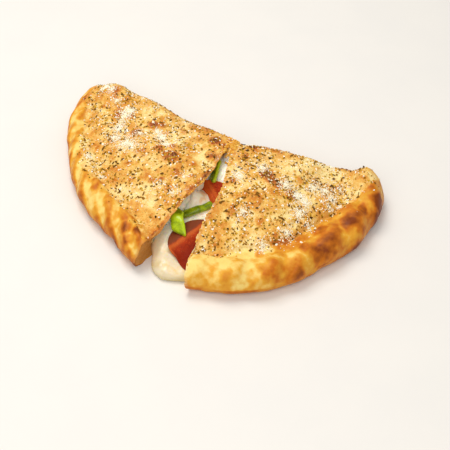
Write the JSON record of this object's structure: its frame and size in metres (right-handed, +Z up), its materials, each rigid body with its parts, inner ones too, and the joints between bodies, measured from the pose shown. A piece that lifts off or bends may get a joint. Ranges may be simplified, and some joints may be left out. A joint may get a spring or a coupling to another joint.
{
  "type": "calzone",
  "caption": "Half-moon folded bread with a rolled rim, cut in two across its fold, with melted cheese, pepperoni and green pepper in the gap between the halves.",
  "frame": {"origin": "middle of the footprint, on the surface that the food rests on", "axes": "+X across both halves towards the right half, +Y towards the fold at the back, +Z up"},
  "size_m": [0.2926, 0.18, 0.0396],
  "materials": {
    "crust": "baked golden crust with brown spots, herbs and grated cheese, matte",
    "cheese": "melted cheese, soft gloss",
    "pepperoni": "cured meat, slightly oily",
    "green_pepper": "cooked pepper, glossy skin"
  },
  "bodies": {
    "root": {"crust_left": "crust", "crust_right": "crust", "melted_cheese": "cheese", "pepperoni_back": "pepperoni", "pepperoni_front": "pepperoni", "pepper_strip_back": "green_pepper", "pepper_strip_middle": "green_pepper", "pepper_piece_front": "green_pepper"}
  },
  "joints": []
}
